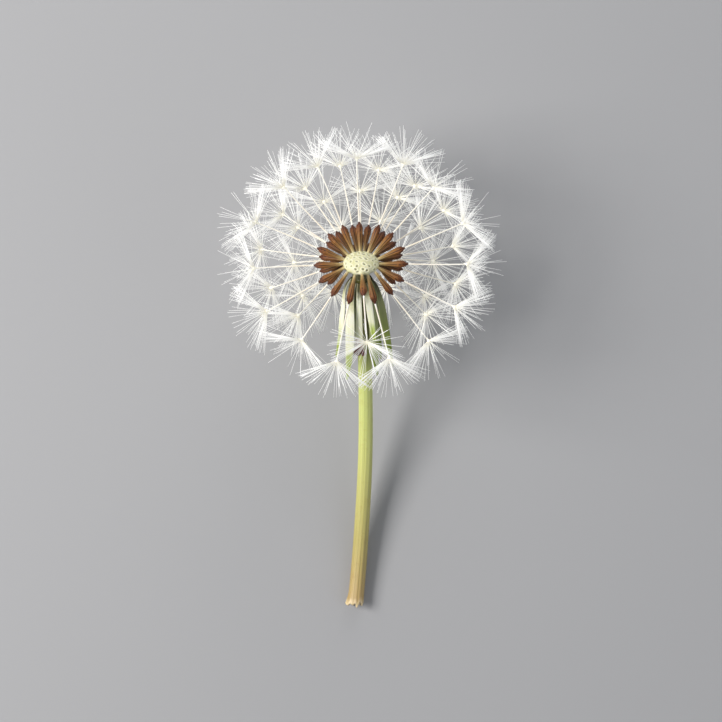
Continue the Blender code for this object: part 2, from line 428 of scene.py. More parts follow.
under = -BUTTON_HEIGHT * math.sqrt(1.0 - (COLLAR_TOP_RADIUS / BUTTON_RADIUS) ** 2)
drop = (COLLAR_DEPTH + under) / COLLAR_STEPS
bpy.context.view_layer.objects.active = button
bpy.ops.object.mode_set(mode="EDIT")
bpy.ops.mesh.select_all(action="SELECT")
bpy.ops.mesh.bisect(plane_co=(0, 0, under), plane_no=(0, 0, 1), clear_inner=True, use_fill=True)
for step in range(1, COLLAR_STEPS + 1):
    bpy.ops.mesh.extrude_region_move(TRANSFORM_OT_translate={"value": (0, 0, -drop)})
    narrow = collar_radius(step / COLLAR_STEPS) / collar_radius((step - 1) / COLLAR_STEPS)
    height = under - drop * step
    bpy.ops.transform.resize(value=(narrow, narrow, 1.0), center_override=(0, 0, height))
bpy.ops.object.mode_set(mode="OBJECT")
button.data.transform(head_frame)
close_up(button, 0.0002 * MM)
bpy.ops.object.shade_smooth()
print("button:", len(button.data.polygons), "faces")

# %% [markdown]
# ## The button's finish
#
# Fresh plant flesh with a waxy skin: cream and blotchy, with paler lips and darker grey-green
# floors in the pits. Towards the underside and down the collar between the bracts it is painted
# near-black green: painted shade under the head. Some subsurface scattering keeps it from looking
# like chalk.

# %% Button finish
button_skin, shader = plain_material("button_skin", (0.85, 0.8, 0.5), 0.5)
blotch = ramp(
    button_skin,
    [(0.3, (0.58, 0.56, 0.31)), (0.5, (0.67, 0.65, 0.39)), (0.7, (0.73, 0.71, 0.48))],
    noise(button_skin, 900.0, 4.0),
)
lipped = mix(button_skin, attribute(button_skin, "lip"), blotch, (0.78, 0.76, 0.54))
scarred = mix(button_skin, attribute(button_skin, "pit"), lipped, (0.21, 0.205, 0.115))
# Painted shade: the underside and the collar are painted near-black green, for the shadow under the
# head.
painted_shade_share = ramp(
    button_skin,
    [(0.1, (0.0, 0.0, 0.0)), (0.6, (1.0, 1.0, 1.0))],
    attribute(button_skin, "under"),
)
button_tone = mix(button_skin, painted_shade_share, scarred, (0.085, 0.085, 0.03))
wire(button_skin, button_tone, shader.inputs["Base Color"])
shader.inputs["Subsurface Weight"].default_value = 0.2
shader.inputs["Subsurface Radius"].default_value = (0.0006, 0.0005, 0.0002)
grain = noise(button_skin, 9000.0, 4.0)
rough_band(button_skin, shader, grain, 0.35, 0.65)
bump(button_skin, shader, grain, 0.00004, 0.6)
button.data.materials.append(button_skin)
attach(button, "root")
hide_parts("receptacle")

# %% [markdown]
# ## The stem's path
#
# The stem leaves the button straight along the head's axis, sinks to the surface and flattens
# out, with a slight bow to one side. The same curve is used for the stem and for the bracts
# that hang around it, so it is written once as a function of the share of its length.

# %% Path of the stem
STEM_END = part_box("stem")[0].y
NECK_RADIUS = 1.05 * MM
CUT_RADIUS = 1.25 * MM
GAP = 0.15 * MM
SIDE_BOW = 0.95 * MM
SIDE_DRIFT = -0.9 * MM

stem_start = button_middle - (COLLAR_DEPTH + GAP) * HEAD_AXIS
stem_reach = stem_start.y - STEM_END
stem_fall = math.tan(HEAD_TILT) * stem_reach
stem_drop = stem_start.z - CUT_RADIUS


def stem_middle(share):
    """A point of the stem's centre line, from the head (share 0) to the cut (share 1)."""
    side = SIDE_BOW * math.sin(math.pi * share) + SIDE_DRIFT * share**2
    height = stem_start.z - stem_fall * share + (stem_fall - stem_drop) * share**2
    return Vector((stem_start.x + side, stem_start.y - stem_reach * share, height))


def stem_frame(share):
    """The centre, sideways and upward directions of the stem's cross-section."""
    along = stem_middle(share + 0.01) - stem_middle(share - 0.01)
    sideways = along.cross(Vector((0, 0, -1))).normalized()
    return stem_middle(share), sideways, along.cross(sideways).normalized()


print("stem runs", round(stem_reach / MM, 1), "mm along the surface")

# %% [markdown]
# ## The stem
#
# A dandelion's stem is a soft tube with faint ribs, and it tears rather than cuts: the end is
# ragged, with a flap that curls outwards. A flat sheet of quads is rolled into the tube by a
# rule, its far edge is cut into tongues, and Solidify then gives the wall its thickness, which
# leaves the bore open at the tear.

# %% Stem shape
STEM_WALL = 0.36 * MM
STEM_END_SHARE = 1.008  # the longest tongue reaches a little past the cut of the solid
RIBS = 13
RIB_HEIGHT = 0.012  # of the stem's radius
UNEVENNESS = 0.02  # of the stem's radius
TEAR_DEPTH = 0.017  # of the stem's length
FLAP_AT = math.radians(170)  # the flap that curls out, on the left
FLAP_FLARE = 0.38 * MM
END_FLARE = 0.03 * MM
FLARE_FROM = 0.955  # the share of the length where the end begins to open out

# Tongues of the torn edge: (degrees around the tube, half width in degrees, share of the depth)
TONGUES = [(27, 12, 0.62), (77, 10, 1.0), (112, 24, 0.5), (152, 26, 0.68), (205, 15, 0.5)]
TONGUES += [(250, 18, 0.85), (300, 14, 0.6), (345, 16, 0.25)]


def tear(turn):
    """How far the torn edge falls short of its longest tongue, as a share of the stem's length."""
    longest = 0.0
    for place, half_width, length in TONGUES:
        gap = abs((math.degrees(turn) - place + 180.0) % 360.0 - 180.0)
        longest = max(longest, length * math.exp(-((gap / half_width) ** 2)))
    return TEAR_DEPTH * (1.0 - longest)


def stem_corner(place):
    """A corner of the rolled sheet: x runs around the tube and y along it."""
    turn = math.tau * place.x
    share = place.y * (STEM_END_SHARE - tear(turn))
    middle, sideways, up = stem_frame(share)
    out = math.cos(turn) * sideways + math.sin(turn) * up
    radius = NECK_RADIUS + (CUT_RADIUS - NECK_RADIUS) * share
    radius *= 1.0 + RIB_HEIGHT * math.cos(RIBS * turn + 1.5 * math.sin(5.0 * share))
    radius *= 1.0 + UNEVENNESS * math.sin(11.0 * share + turn) * math.sin(7.0 * share)
    near_end = max(0.0, (place.y - FLARE_FROM) / (1.0 - FLARE_FROM))
    flap = max(0.0, math.cos(turn - FLAP_AT)) ** 3
    radius += (END_FLARE + FLAP_FLARE * flap) * near_end**2
    corner = middle + radius * out
    corner.z = max(corner.z, FLOOR_CLEARANCE)
    return corner


stem = new_grid("stem_skin", 104, 200)
shape_corners(stem, stem_corner)
close_up(stem)
first_face = stem.data.polygons[0]
if first_face.normal.dot(first_face.center - stem_middle(0.0)) < 0.0:
    stem.data.flip_normals()
wall = stem.modifiers.new("wall", "SOLIDIFY")
wall.thickness = STEM_WALL
wall.offset = -1.0
wall.use_rim = True
wall.material_offset = 1
wall.material_offset_rim = 1
apply_modifiers(stem)
bpy.ops.object.shade_smooth()
print("stem:", len(stem.data.polygons), "faces")

# %% [markdown]
# ## The stem's finish
#
# Near the head it is painted dark, for the shade where it is hidden between the bracts; then it
# is yellow-green, and ochre towards the tear, where it has begun to dry. Fine lines run the whole
# length, so the pattern uses the sheet's own UV map, whose first direction goes around the tube.
# The skin is smooth with a soft shine; the torn wall is pale and dry.


# %% Stem finish
def uv_lines(material, around, along, detail=4.0):
    """Noise drawn out along a piece: many waves around it and few along it."""
    place = add_node(material, "ShaderNodeUVMap", uv_map="UVMap").outputs["UV"]
    mapping = add_node(material, "ShaderNodeMapping", Scale=(around, along, 1.0))
    wire(material, place, mapping.inputs["Vector"])
    node = add_node(material, "ShaderNodeTexNoise", Scale=1.0, Detail=detail, Roughness=0.6)
    wire(material, mapping.outputs["Vector"], node.inputs["Vector"])
    return node.outputs["Fac"]


def uv_along(material):
    """How far along the piece a point lies, from its UV map."""
    place = add_node(material, "ShaderNodeUVMap", uv_map="UVMap").outputs["UV"]
    split = add_node(material, "ShaderNodeSeparateXYZ")
    wire(material, place, split.inputs["Vector"])
    return split.outputs["Y"]


stem_green, shader = plain_material("stem_green", (0.5, 0.55, 0.15), 0.4)
# The first stops are painted shade where the stem is hidden between the bracts; the rest are the
# stem's own colours.
length_tone_and_shade = ramp(
    stem_green,
    [
        (0.0, (0.10, 0.10, 0.02)),
        (0.16, (0.20, 0.20, 0.03)),
        (0.27, (0.56, 0.62, 0.22)),
        (0.5, (0.57, 0.59, 0.20)),
        (0.8, (0.47, 0.40, 0.135)),
        (0.98, (0.46, 0.32, 0.13)),
        (1.0, (0.74, 0.58, 0.36)),
    ],
    uv_along(stem_green),
)
lines = uv_lines(stem_green, 70.0, 3.0)
line_tone = ramp(stem_green, [(0.35, (0.36, 0.36, 0.34)), (0.65, (0.68, 0.68, 0.64))], lines)
lined = mix(stem_green, 0.55, length_tone_and_shade, line_tone, "OVERLAY")
spots = ramp(
    stem_green,
    [(0.55, (1.0, 1.0, 1.0)), (0.75, (0.76, 0.62, 0.46))],
    noise(stem_green, 420.0, 6.0, 0.7),
)
wire(stem_green, mix(stem_green, 0.5, lined, spots, "MULTIPLY"), shader.inputs["Base Color"])
shader.inputs["Subsurface Weight"].default_value = 0.15
shader.inputs["Subsurface Radius"].default_value = (0.0005, 0.0006, 0.0002)
rough_band(stem_green, shader, lines, 0.32, 0.55)
bump(stem_green, shader, lines, 0.00006, 0.7)

torn_wall, shader = plain_material("torn_wall", (0.72, 0.56, 0.38), 0.8)
fibre = uv_lines(torn_wall, 120.0, 14.0)
fibre_tone = ramp(
    torn_wall,
    [(0.3, (0.52, 0.34, 0.19)), (0.5, (0.80, 0.64, 0.44)), (0.7, (0.92, 0.83, 0.66))],
    fibre,
)
wire(torn_wall, fibre_tone, shader.inputs["Base Color"])
rough_band(torn_wall, shader, fibre, 0.65, 0.9)
bump(torn_wall, shader, fibre, 0.00008, 0.8)
stem.data.materials.append(stem_green)
stem.data.materials.append(torn_wall)
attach(stem, "root")
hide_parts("stem")

# %% [markdown]
# ## The bracts
#
# While the flower was a bud, narrow green bracts wrapped it. Once the seeds ripen they fold
# back and hang around the stem like a loose skirt, so their pale inner faces now look out and
# their green backs face the stem. Each is a sheet of quads laid along the stem's path by a rule
# that bends it at the root, cups it across, turns and twists it a little and draws it to a
# point. Two of them are spoiled: one has lost its lower half, and one ends in a shrivelled tip.

# %% Bract shape
BRACT_COUNT = 12
BRACT_LENGTH = 14.5 * MM
BRACT_WIDTH = 1.45 * MM
BRACT_THICKNESS = 0.16 * MM
BRACT_FIRST = math.radians(12)
BRACT_START = 0.3 * MM  # down the stem to the roots
BRACT_ROOT = 1.5 * MM  # from the stem's middle to the roots
BRACT_HANG = (2.1 * MM, 2.8 * MM)  # from the stem's middle to the folded part, inner and outer
BRACT_SPLAY = (0.3 * MM, 1.7 * MM)  # how much farther out the tips stand, inner and outer
SPLAY_SPREAD = 0.25 * MM
BRACT_DRIFT = math.radians(8)  # how far a tip strays around the stem
BRACT_TURN = math.radians(60)  # how far the side bracts turn their faces up
BRACT_FOLD = 0.09  # the share of the length in which a bract bends over at its root
BRACT_CHANCE = 13
WITHERED = 4  # this bract's tip has shrivelled and gone dark red
WITHERED_DRIFT = math.radians(12)
SHRIVEL_FROM = 0.88  # the share of its length where the shrivelled tip begins
TORN = 3  # this bract has lost its lower half
LENGTH_SHARE = {WITHERED: 0.76, TORN: 0.54, 1: 0.93, 5: 0.97}  # the rest are drawn by chance


def shrivel(share):
    """How shrivelled the withered bract is, from 0 to 1 at its tip."""
    return max(0.0, share - SHRIVEL_FROM) / (1.0 - SHRIVEL_FROM)


def bract_width(share, number):
    """A bract's width: narrow at the root, widest past the middle, and pointed at the tip."""
    body = 0.3 + 0.7 * math.sin(math.pi * (0.85 * share + 0.05))
    if number == WITHERED:
        return BRACT_WIDTH * (0.45 + 0.5 * share + 0.6 * shrivel(share))
    if number == TORN:
        return BRACT_WIDTH * (0.6 + 0.3 * share) * (1.0 - 0.75 * share**3)
    point = math.sqrt(max(0.0, 1.0 - share**5))
    return BRACT_WIDTH * body * (0.06 + 0.94 * point)


def bract_rule(first_around, drift, hang, splay, twist, curl, length, number):
    """The rule that lays one flat sheet along the stem as a bract."""

    def rule(place):
        share = place.y
        across_share = 2.0 * place.x - 1.0
        around = first_around + drift * share
        middle, sideways, up = stem_frame((BRACT_START + length * share) / stem_reach)
        out = math.cos(around) * sideways + math.sin(around) * up
        across = math.cos(around) * up - math.sin(around) * sideways
        fold = 1.0 - math.exp(-share / BRACT_FOLD)
        away = BRACT_ROOT + (hang - BRACT_ROOT) * fold + splay * share**1.5
        away += curl * max(0.0, share - 0.7) ** 2 * 8.0
        half = 0.5 * bract_width(share, number)
        turn = twist * share**2 - BRACT_TURN * math.sqrt(share) * math.cos(around)
        flat = math.cos(turn) * across + math.sin(turn) * out
        lift = math.cos(turn) * out - math.sin(turn) * across
        cup = 0.22 * half * (1.0 - across_share**2)
        cup += 0.06 * half * math.sin(17.0 * share + 9.0 * around)
        vein = 0.04 * MM * math.cos(5.0 * math.pi * across_share) * (1.0 - across_share**4)
        if number == WITHERED:
            crumple = math.cos(2.6 * math.pi * across_share + 5.0 * share)
            cup += 0.42 * MM * shrivel(share) ** 2 * crumple
        return middle + away * out + half * across_share * flat + (cup + vein) * lift

    return rule


bract_chance = random.Random(BRACT_CHANCE)
looks = random.Random(71)
bracts = []
for number in range(1, BRACT_COUNT + 1):
    layer = number % 2
    around = BRACT_FIRST + math.tau * (number - 1) / BRACT_COUNT
    splay = BRACT_SPLAY[layer] + bract_chance.uniform(-SPLAY_SPREAD, SPLAY_SPREAD)
    drift = bract_chance.uniform(-BRACT_DRIFT, BRACT_DRIFT)
    twist = looks.uniform(-0.3, 0.3)
    curl = looks.uniform(-0.25, 0.7) * MM
    length = BRACT_LENGTH * LENGTH_SHARE.get(number, looks.uniform(0.84, 1.0))
    if number == WITHERED:
        drift = WITHERED_DRIFT
    rule = bract_rule(around, drift, BRACT_HANG[layer], splay, twist, curl, length, number)
    bract = new_grid(f"bract_{number:02d}_leaf", 14, 60)
    shape_corners(bract, rule)
    leaf = bract.modifiers.new("leaf", "SOLIDIFY")
    leaf.thickness = BRACT_THICKNESS
    leaf.offset = 0.0
    leaf.material_offset = 1
    leaf.material_offset_rim = 0
    bracts.append(bract)
print("bracts:", len(bracts))

# %% [markdown]
# ## The bracts' finish
#
# The inner faces are cream with a fresh green tip, and the backs are leaf green with pale margins.
# Every face is painted dark at the root, for the shade under the head where the bracts fold back.
# Some bracts are green on both faces. Veins run lengthwise, so every pattern follows the UV map of
# the sheet.


# %% Bract finish
def leaf_material(name, pale, green, margin, shine):
    """A bract face with veins: two ramps along its length, mixed by how green the bract is."""
    made, shader = plain_material(name, pale[0][1], shine)
    place = add_node(made, "ShaderNodeUVMap", uv_map="UVMap").outputs["UV"]
    split = add_node(made, "ShaderNodeSeparateXYZ")
    wire(made, place, split.inputs["Vector"])
    shift = add_node(made, "ShaderNodeMath", operation="MULTIPLY_ADD")
    shift.inputs[1].default_value = 0.3
    wire(made, noise(made, 700.0, 3.0), shift.inputs[0])
    wire(made, split.outputs["Y"], shift.inputs[2])
    both = mix(
        made,
        attribute(made, "green"),
        ramp(made, pale, shift.outputs["Value"]),
        ramp(made, green, shift.outputs["Value"]),
    )
    edge = add_node(made, "ShaderNodeMath", operation="PINGPONG")
    edge.inputs[1].default_value = 0.5
    wire(made, split.outputs["X"], edge.inputs[0])
    rim = ramp(made, [(0.0, (0.8, 0.8, 0.8)), (0.12, (0.0, 0.0, 0.0))], edge.outputs["Value"])
    veins = uv_lines(made, 16.0, 1.4)
    vein_tone = ramp(made, [(0.35, (0.36, 0.37, 0.32)), (0.6, (0.62, 0.62, 0.59))], veins)
    veined = mix(made, 0.5, both, vein_tone, "OVERLAY")
    margin_tone = mix(made, attribute(made, "green"), margin, (0.36, 0.39, 0.16))
    wire(made, mix(made, rim, veined, margin_tone), shader.inputs["Base Color"])
    rough_band(made, shader, veins, shine, shine + 0.2)
    bump(made, shader, veins, 0.00007, 0.8)
    shader.inputs["Subsurface Weight"].default_value = 0.25
    shader.inputs["Subsurface Radius"].default_value = (0.0004, 0.0005, 0.0002)
    return made


# The first, near-black stop here and in the ramps below is painted shade at the bracts' roots, under
# the head.
GREEN_ALONG = [
    (0.22, (0.07, 0.065, 0.02)),
    (0.42, (0.24, 0.26, 0.11)),
    (0.7, (0.22, 0.26, 0.06)),
    (1.0, (0.22, 0.30, 0.03)),
]
inner_face = leaf_material(
    "bract_inner_face",
    [
        # painted shade at the root
        (0.22, (0.13, 0.12, 0.05)),
        (0.36, (0.66, 0.65, 0.42)),
        (0.46, (0.94, 0.93, 0.78)),
        (0.8, (0.90, 0.90, 0.66)),
        (1.0, (0.42, 0.52, 0.10)),
    ],
    GREEN_ALONG,
    (0.88, 0.89, 0.72),
    0.45,
)
green_back = leaf_material(
    "bract_green_back",
    # the first stop is painted shade at the root
    [(0.2, (0.08, 0.08, 0.03)), (0.5, (0.20, 0.25, 0.05)), (1.0, (0.17, 0.24, 0.03))],
    GREEN_ALONG,
    (0.62, 0.64, 0.40),
    0.4,
)
red_tip = leaf_material(
    "bract_red_tip",
    [
        # painted shade at the root
        (0.22, (0.13, 0.12, 0.05)),
        (0.4, (0.88, 0.88, 0.72)),
        (0.88, (0.84, 0.85, 0.62)),
        (0.96, (0.30, 0.10, 0.05)),
        (1.0, (0.11, 0.010, 0.007)),
    ],
    GREEN_ALONG,
    (0.66, 0.62, 0.46),
    0.45,
)


def how_green(number):
    """Bracts on the right of the stem show more green than those on the left."""
    around = BRACT_FIRST + math.tau * (number - 1) / BRACT_COUNT
    side = 0.55 + 0.55 * math.cos(around) - 0.42 * math.sin(around)
    return min(1.0, max(0.0, side + 0.25 * (number % 3 - 1)))


for number, bract in enumerate(bracts, start=1):
    bract.data.materials.append(red_tip if number == WITHERED else inner_face)
    bract.data.materials.append(green_back)
    apply_modifiers(bract)
    close_up(bract)
    greenness = 0.0 if number == WITHERED else how_green(number)
    store(bract.data, "green", np.full(len(bract.data.vertices), greenness))
    bpy.ops.object.shade_smooth()
    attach(bract, "root")
    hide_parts(f"bract_{number:02d}")
print("greenness:", [round(how_green(number), 2) for number in range(1, BRACT_COUNT + 1)])

# %% [markdown]
# ## One seed: the fruit and its beak
#
# A ripe fruit is a slim brown spindle with five strong ribs, each split by a fine line, little
# teeth on its upper half, and a thin pale beak up to ten millimetres long that carries the tuft.
# It stands on the origin with its beak along +Z. A disc of twenty corners is extruded up ring by
# ring and resized at each step, lines of corners are drawn in to make the grooves, and faces on
# the upper half are pulled out and collapsed into teeth.

# %% Rings of the fruit and the beak
FRUIT_LENGTH = 4.7 * MM
FRUIT_RADIUS = 0.55 * MM
BEAK_RADIUS = 0.11 * MM
BEAK_STEPS = 10
PLAIN_HUB_HEIGHT = 14.5 * MM  # the hub of the pattern seed; each copy is stretched to its own
FRUIT_SIDES = 20

# (share of the fruit's length, share of its widest radius)
fruit_rings = [(0.0, 0.34), (0.03, 0.42), (0.12, 0.47), (0.25, 0.56), (0.38, 0.68), (0.5, 0.80)]
fruit_rings += [(0.6, 0.91), (0.68, 0.98), (0.75, 1.0), (0.81, 0.93), (0.86, 0.80), (0.9, 0.64)]
fruit_rings += [(0.935, 0.47), (0.97, 0.33)]
rings = [(height * FRUIT_LENGTH, radius * FRUIT_RADIUS) for height, radius in fruit_rings]
for step in range(BEAK_STEPS + 1):
    share = step / BEAK_STEPS
    height = FRUIT_LENGTH + share * (PLAIN_HUB_HEIGHT - FRUIT_LENGTH)
    rings.append((height, BEAK_RADIUS * (1.25 - 0.35 * math.sqrt(share))))
print("rings:", len(rings))


# %% Extrude rings
def extrude_rings(name, sides, outline):
    """A solid raised from a disc, ring by ring, through (height, radius) pairs."""
    clear_selection()
    bpy.ops.mesh.primitive_circle_add(
        vertices=sides, radius=outline[0][1], fill_type="NGON", location=(0, 0, outline[0][0])
    )
    made = bpy.context.object
    made.name = name
    bpy.ops.object.transform_apply(location=True, rotation=True, scale=True)
    bpy.ops.object.mode_set(mode="EDIT")
    bpy.ops.mesh.select_all(action="SELECT")
    for (low, narrow), (high, wide) in zip(outline, outline[1:]):
        bpy.ops.mesh.extrude_region_move(TRANSFORM_OT_translate={"value": (0, 0, high - low)})
        widen = wide / narrow
        bpy.ops.transform.resize(value=(widen, widen, 1.0), center_override=(0, 0, high))
    bpy.ops.object.mode_set(mode="OBJECT")
    close_up(made)
    return made


fruit = extrude_rings("pattern_fruit", FRUIT_SIDES, rings)

# %% Grooves and teeth
# Down into the groove, over a rib, into the fine line that splits it, and over its other half
GROOVE_DEPTH = (0.42, 0.02, 0.17, 0.02)
# GROOVE_TONE is how much of the ridge colour each line keeps; the rest is the groove colour, partly
# painted shade in the recesses.
GROOVE_TONE = (0.0, 1.0, 0.45, 0.85)


def column(place):
    """Which of the lines of corners up the fruit this corner is on."""
    return round(math.atan2(place.y, place.x) / math.tau * FRUIT_SIDES) % FRUIT_SIDES


def draw_in_grooves(place):
    """Draws the lines of corners in the grooves towards the axis."""
    share = place.z / FRUIT_LENGTH
    if share > 0.99:
        return place
    pull = GROOVE_DEPTH[column(place) % 4] * math.sin(math.pi * min(1.0, 0.08 + 0.9 * share)) ** 0.5
    return Vector((place.x * (1 - pull), place.y * (1 - pull), place.z))


store(fruit.data, "ridge", [GROOVE_TONE[column(v.co) % 4] for v in fruit.data.vertices])
shape_corners(fruit, draw_in_grooves)

TOOTH_RISE = 0.12 * MM
TOOTH_SHARE = 0.4  # of the faces between the two heights below
TEETH_FROM, TEETH_TO = 0.57, 0.89
tooth_chance = random.Random(5)


def face_place(face):
    """A face's height and direction, by which the faces are always taken in the same order."""
    around = math.atan2(face.center.y, face.center.x) / math.tau * FRUIT_SIDES
    return round(face.center.z / MM, 2), round(around - 0.5) % FRUIT_SIDES


clear_selection()
bpy.context.view_layer.objects.active = fruit
fruit.select_set(True)
bpy.context.tool_settings.mesh_select_mode = (False, False, True)
bpy.ops.object.mode_set(mode="EDIT")
bpy.ops.mesh.select_all(action="DESELECT")
bpy.ops.object.mode_set(mode="OBJECT")
for face in sorted(fruit.data.polygons, key=face_place):
    share = face.center.z / FRUIT_LENGTH
    face.select = TEETH_FROM < share < TEETH_TO and tooth_chance.random() < TOOTH_SHARE
bpy.ops.object.mode_set(mode="EDIT")
bpy.ops.mesh.extrude_faces_move(TRANSFORM_OT_shrink_fatten={"value": TOOTH_RISE})
bpy.ops.transform.translate(value=(0, 0, TOOTH_RISE))
bpy.ops.mesh.merge(type="COLLAPSE")
bpy.ops.object.mode_set(mode="OBJECT")
bpy.context.tool_settings.mesh_select_mode = (True, False, False)
print("fruit with beak:", len(fruit.data.polygons), "faces")

# %% [markdown]
# ## One bristle and the tuft
#
# The tuft is a parachute of about seventy fine white bristles that spring from a small pale
# funnel. Each bristle is a three-sided spike, thickest at the funnel. It is modelled once, and
# the tuft is that spike set out around the axis. Most bristles lie on a wide cone, crowded
# towards two opposite sides of it, and a few stand nearer to the axis. So a tuft seen from its
# side shows two dense fans with a few single bristles between them. Every tuft opens a little
# more or less than the next.

# %% One bristle
BRISTLE_COUNT = 74
BRISTLE_LENGTH = 6.9 * MM
BRISTLE_RADIUS = 0.034 * MM
BRISTLE_TIP_RADIUS = 0.025 * MM
BRISTLE_STEPS = 3
BRISTLE_START = 0.22 * MM  # the bristles leave the funnel this far from its middle

clear_selection()
bpy.ops.mesh.primitive_cone_add(
    vertices=3,
    radius1=BRISTLE_RADIUS,
    radius2=BRISTLE_TIP_RADIUS,
    depth=1.0,
    location=(0, 0, 0.5),
)
bristle = bpy.context.object
bristle.name = "pattern_bristle"
bpy.ops.object.transform_apply(location=True, rotation=True, scale=True)
bpy.ops.object.mode_set(mode="EDIT")
for step in range(1, BRISTLE_STEPS):
    bpy.ops.mesh.select_all(action="SELECT")
    bpy.ops.mesh.bisect(plane_co=(0, 0, step / BRISTLE_STEPS), plane_no=(0, 0, 1))
bpy.ops.mesh.select_all(action="SELECT")
bpy.ops.mesh.quads_convert_to_tris()
bpy.ops.object.mode_set(mode="OBJECT")
bristle_corners = np.array([v.co for v in bristle.data.vertices])
bristle_faces = np.array([p.vertices for p in bristle.data.polygons])
print("bristle:", len(bristle_faces), "faces")

# %% Funnel that carries the bristles
# (height, radius), from the end of the beak up to its rim and in to a shallow crown
funnel_rings = [(-0.45, 0.10), (-0.2, 0.14), (-0.05, 0.22), (0.06, 0.34), (0.14, 0.33), (0.2, 0.18)]
funnel_outline = [(height * MM, radius * MM) for height, radius in funnel_rings]
funnel = extrude_rings("pattern_funnel", 12, funnel_outline)
bpy.context.view_layer.objects.active = funnel
bpy.ops.object.mode_set(mode="EDIT")
bpy.ops.mesh.select_all(action="SELECT")
bpy.ops.mesh.quads_convert_to_tris()
bpy.ops.object.mode_set(mode="OBJECT")
hub_corners = np.array([v.co for v in funnel.data.vertices])
hub_faces = np.array([list(p.vertices) for p in funnel.data.polygons])
print("funnel:", len(hub_faces), "faces")


# %% The tuft
INNER_SHARE = 0.1  # of the bristles stand nearer to the axis than the cone
LEAN_SPREAD = math.radians(6)
LEAN_LIMIT = math.radians(96)
FAN_CROWDING = 0.34  # radians that bristles are drawn towards the tuft's two sides


def bristle_lean(chance, opening):
    """How far a bristle leans from the seed's own axis, in a tuft that opens this far."""
    if chance.random() < INNER_SHARE:
        return chance.uniform(0.1, 0.8) * opening
    return min(LEAN_LIMIT, chance.gauss(opening, LEAN_SPREAD))


def tuft(chance, opening):
    """Corners, faces and along-the-bristle shares of one tuft, with its funnel at the origin."""
    all_corners, all_faces, shares = [hub_corners], [hub_faces], [np.zeros(len(hub_corners))]
    filled = len(hub_corners)
    clumps = [chance.uniform(0.0, math.tau) for _ in range(3)]
    for number in range(BRISTLE_COUNT):
        around = GOLDEN_ANGLE * number + chance.uniform(-0.1, 0.1)
        around += FAN_CROWDING * math.sin(2.0 * around)
        around += sum(0.07 * math.sin((5 + 2 * i) * around + clump) for i, clump in enumerate(clumps))
        lean = bristle_lean(chance, opening)
        length = BRISTLE_LENGTH * chance.uniform(0.88, 1.04) * (1.0 - 0.12 * math.cos(lean) ** 2)
        bend = chance.uniform(-0.03, 0.05)
        share = bristle_corners[:, 2]
        reach = BRISTLE_START + (length - BRISTLE_START) * share
        side = bristle_corners[:, 0]
        thick = bristle_corners[:, 1]
        tilt = lean + bend * share
        flat = reach * np.sin(tilt) + side * np.cos(tilt)
        rise = reach * np.cos(tilt) - side * np.sin(tilt)
        x = flat * math.cos(around) - thick * math.sin(around)
        y = flat * math.sin(around) + thick * math.cos(around)
        all_corners.append(np.stack([x, y, rise], axis=1))
        all_faces.append(bristle_faces + filled)
        shares.append(share)
        filled += len(bristle_corners)
    return np.concatenate(all_corners), np.concatenate(all_faces), np.concatenate(shares)


# %% [markdown]
# ## The pattern seeds
#
# A few different pattern seeds are made, each a fruit with its beak and one tuft in one mesh.
# Three attributes go with the corners: which part they belong to, how far along it they lie,
# and whether they are on a ridge. The materials read the last two, because a finished seed
# points in its own direction and plain coordinates would cut across it.

# %% Pattern seeds
TUFT_OPENINGS = (48, 55, 61, 66, 57, 72)  # degrees between the axis and the cone of bristles
PATTERNS = len(TUFT_OPENINGS)
FRUIT_PART, BEAK_PART, TUFT_PART = 0.0, 1.0, 2.0


def pattern_seed(number):
    """One pattern seed as a mesh, with material slots for the fruit, the beak and the tuft."""
    fruit_mesh = fruit.data
    body = np.array([v.co for v in fruit_mesh.vertices])
    ridge = np.array([v.value for v in fruit_mesh.attributes["ridge"].data])
    chance = random.Random(100 + number)
    tuft_corners, tuft_faces, tuft_shares = tuft(chance, math.radians(TUFT_OPENINGS[number]))
    tuft_corners = tuft_corners + np.array([0.0, 0.0, PLAIN_HUB_HEIGHT])
    faces = [list(p.vertices) for p in fruit_mesh.polygons]
    on_fruit = [p.center.z < FRUIT_LENGTH for p in fruit_mesh.polygons]
    faces += (tuft_faces + len(body)).tolist()
    mesh = bpy.data.meshes.new(f"pattern_seed_{number}")
    mesh.from_pydata(np.concatenate([body, tuft_corners]).tolist(), [], faces)
    slots = [0 if fruit_face else 1 for fruit_face in on_fruit] + [2] * len(tuft_faces)
    mesh.polygons.foreach_set("material_index", slots)
    part = np.where(body[:, 2] > FRUIT_LENGTH * 1.001, BEAK_PART, FRUIT_PART)
    share = np.where(
        part == FRUIT_PART,
        body[:, 2] / FRUIT_LENGTH,
        (body[:, 2] - FRUIT_LENGTH) / (PLAIN_HUB_HEIGHT - FRUIT_LENGTH),
    )
    store(mesh, "part", np.concatenate([part, np.full(len(tuft_corners), TUFT_PART)]))
    store(mesh, "along", np.concatenate([share, tuft_shares]))
    store(mesh, "ridge", np.concatenate([ridge, np.zeros(len(tuft_corners))]))
    return mesh


patterns = [pattern_seed(number) for number in range(PATTERNS)]
print("one seed:", len(patterns[0].polygons), "faces")

# %% [markdown]
# ## The seeds' finishes
#
# The fruit goes from straw at its foot to dark red-brown at its top, with lighter ridges and dark
# grooves, whose darkness is partly their own colour and partly painted shade in the recesses. The
# beak is tan where it leaves the fruit and cream at the tuft. The bristles are white, with a faint
# painted glow that stands in for the light they let through.

